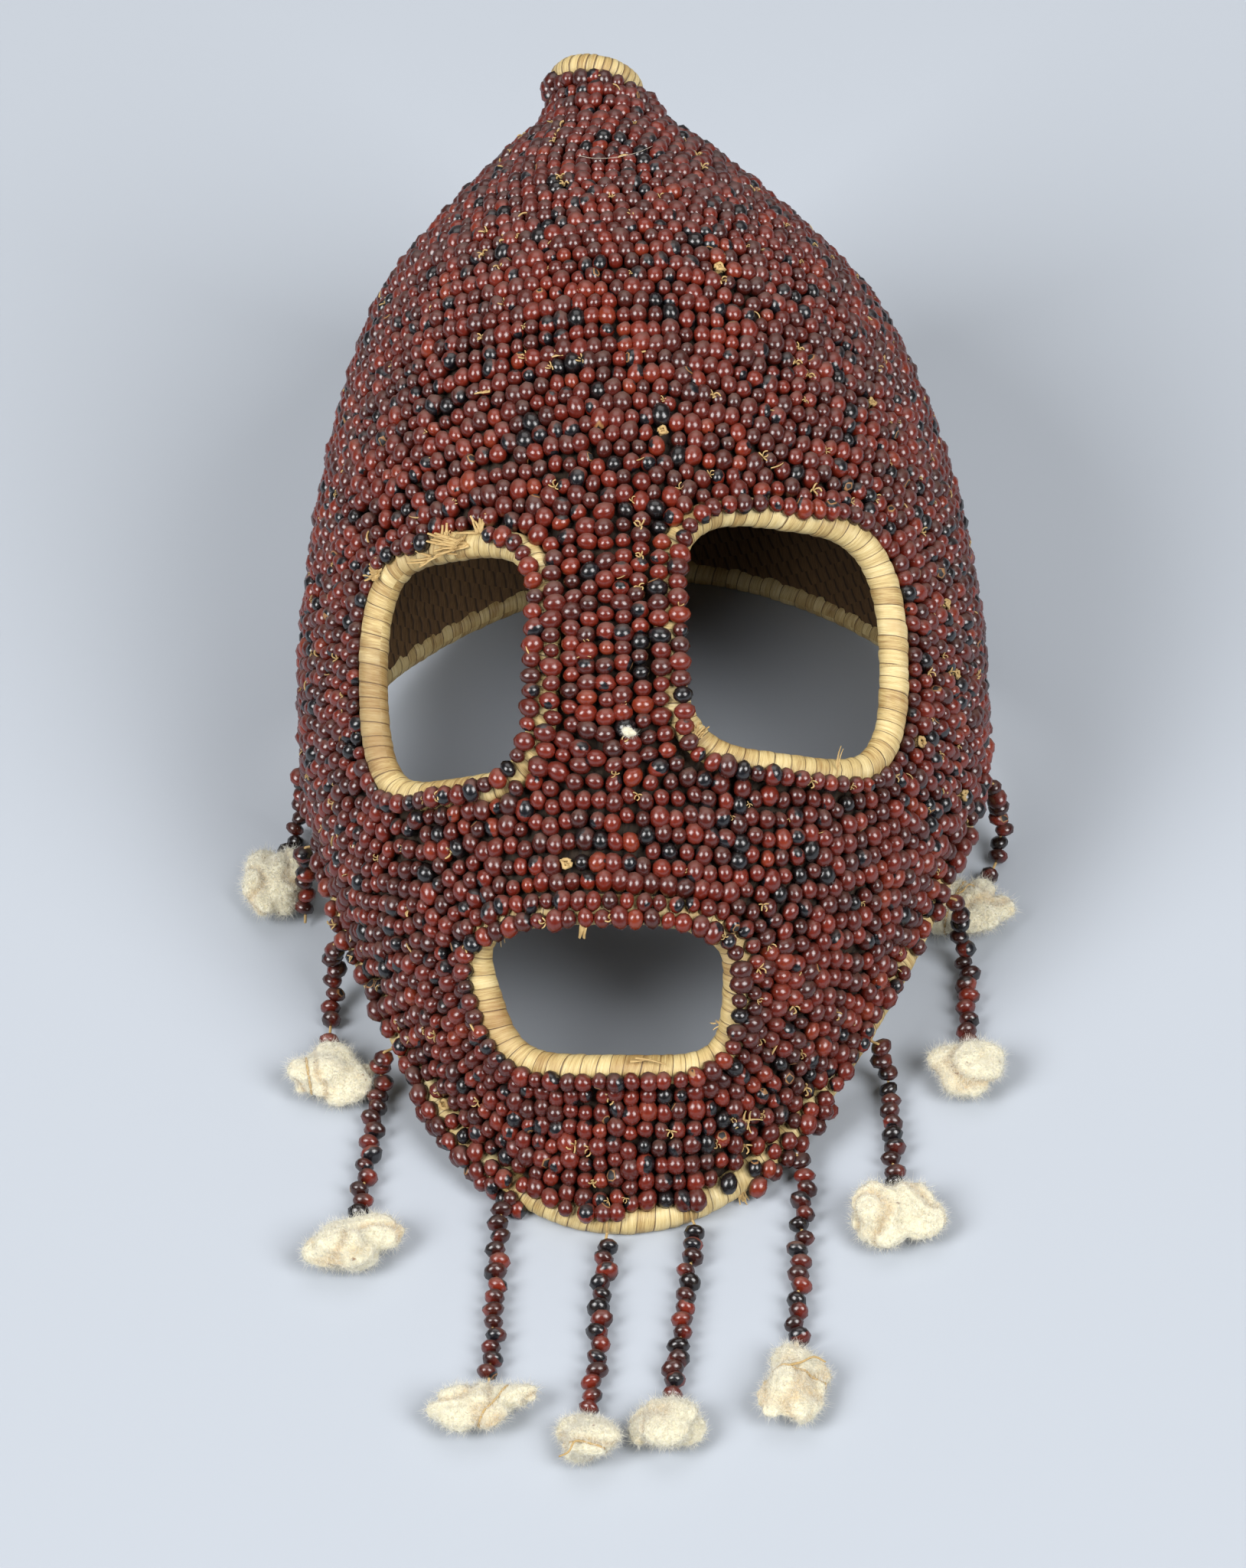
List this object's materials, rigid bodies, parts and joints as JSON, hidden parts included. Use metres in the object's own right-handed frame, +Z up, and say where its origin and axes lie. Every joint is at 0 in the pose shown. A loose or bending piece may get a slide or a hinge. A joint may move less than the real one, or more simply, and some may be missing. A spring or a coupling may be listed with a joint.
{
  "type": "seed-covered basketry helmet mask",
  "caption": "Egg-shaped basketry hood mask covered in strung red-brown seeds, with straw-bound eyes, mouth and crown ring and cotton-ended seed strands, lying on its open back.",
  "frame": {"origin": "on the ground under the middle of the whole object's box", "axes": "+Z up as it lies, -Y from the crown towards the chin, +X to the viewer's right of the face"},
  "size_m": [0.262, 0.4706, 0.1903],
  "materials": {
    "seeds": "glossy dark red-brown seeds with black eyes",
    "basketry": "aged dry basketry",
    "straw_coil": "pale straw wrapped round a coil",
    "cotton": "raw cotton with ochre stains"
  },
  "bodies": {
    "root": {"basketry_hood": "basketry", "seed_cover": "seeds", "left_eye_rim": "straw_coil", "right_eye_rim": "straw_coil", "mouth_rim": "straw_coil", "lower_rim": "straw_coil", "crown_ring": "straw_coil", "seed_strand_01": "seeds", "seed_strand_02": "seeds", "seed_strand_03": "seeds", "seed_strand_04": "seeds", "seed_strand_05": "seeds", "seed_strand_06": "seeds", "seed_strand_07": "seeds", "seed_strand_08": "seeds", "seed_strand_09": "seeds", "seed_strand_10": "seeds", "seed_strand_11": "seeds", "seed_strand_12": "seeds", "seed_strand_13": "seeds", "seed_strand_14": "seeds", "cotton_tuft_01": "cotton", "cotton_tuft_02": "cotton", "cotton_tuft_03": "cotton", "cotton_tuft_04": "cotton", "cotton_tuft_05": "cotton", "cotton_tuft_06": "cotton", "cotton_tuft_07": "cotton", "cotton_tuft_08": "cotton", "cotton_tuft_09": "cotton", "cotton_tuft_10": "cotton", "cotton_tuft_11": "cotton", "cotton_tuft_12": "cotton", "cotton_tuft_13": "cotton"}
  },
  "joints": []
}
